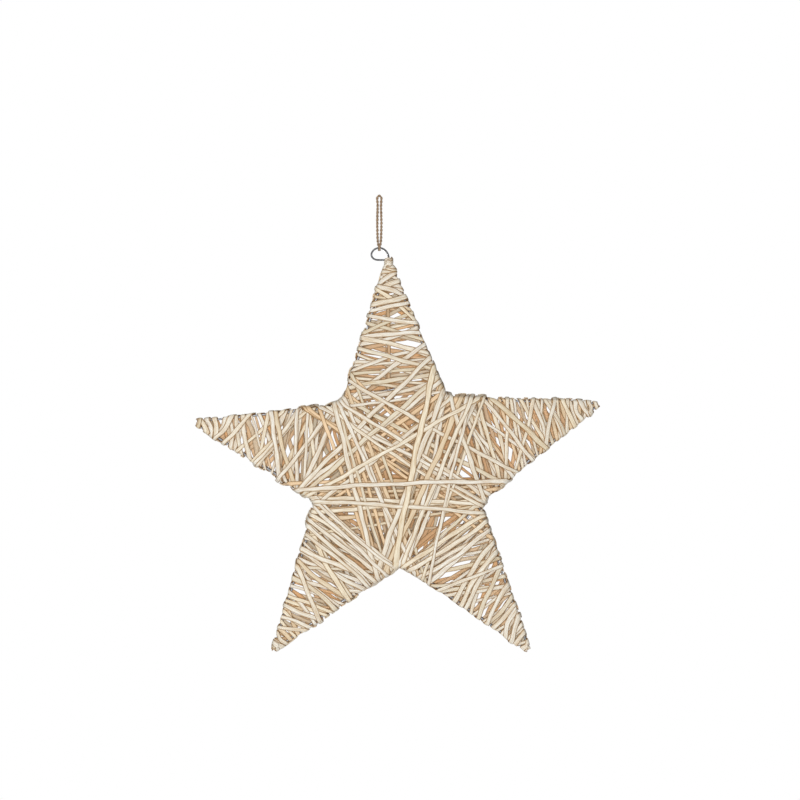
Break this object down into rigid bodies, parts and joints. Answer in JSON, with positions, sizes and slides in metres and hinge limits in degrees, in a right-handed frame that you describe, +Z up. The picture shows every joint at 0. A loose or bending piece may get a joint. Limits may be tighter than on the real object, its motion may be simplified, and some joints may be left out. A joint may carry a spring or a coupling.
{
  "type": "hanging willow star",
  "caption": "Hanging five-armed star: a double steel wire frame wound with peeled cream willow strips, with a wire eye and a twine loop to hang it by.",
  "frame": {"origin": "underside of the top bend of the twine loop, where a hook or nail carries the star", "axes": "+Z up along the hanging line, the front faces -Y, +X to the right seen from the front"},
  "size_m": [0.4004, 0.0516, 0.4508],
  "materials": {
    "peeled_willow": "matte peeled willow, ivory outside and peach inside, fine lengthwise grain",
    "frame_wire": "grey galvanised wire",
    "eye_wire": "smooth dark grey bright-drawn wire",
    "jute_twine": "rough twisted jute, light brown with darker flecks"
  },
  "bodies": {
    "root": {"front_star_wire": "frame_wire", "back_star_wire": "frame_wire", "spacer_wire_1": "frame_wire", "spacer_wire_2": "frame_wire", "spacer_wire_3": "frame_wire", "spacer_wire_4": "frame_wire", "spacer_wire_5": "frame_wire", "brace_ring": "frame_wire", "hanging_eye": "eye_wire", "jute_loop": "jute_twine", "right_arm_skein_1": "peeled_willow", "right_arm_skein_2": "peeled_willow", "top_arm_skein_1": "peeled_willow", "top_arm_skein_2": "peeled_willow", "left_arm_skein_1": "peeled_willow", "left_arm_skein_2": "peeled_willow", "lower_left_arm_skein_1": "peeled_willow", "lower_left_arm_skein_2": "peeled_willow", "lower_right_arm_skein_1": "peeled_willow", "lower_right_arm_skein_2": "peeled_willow", "hub_pentagram_skein": "peeled_willow", "hub_skein_1": "peeled_willow", "hub_skein_2": "peeled_willow", "hub_skein_3": "peeled_willow", "hub_skein_4": "peeled_willow", "hub_skein_5": "peeled_willow"}
  },
  "joints": []
}
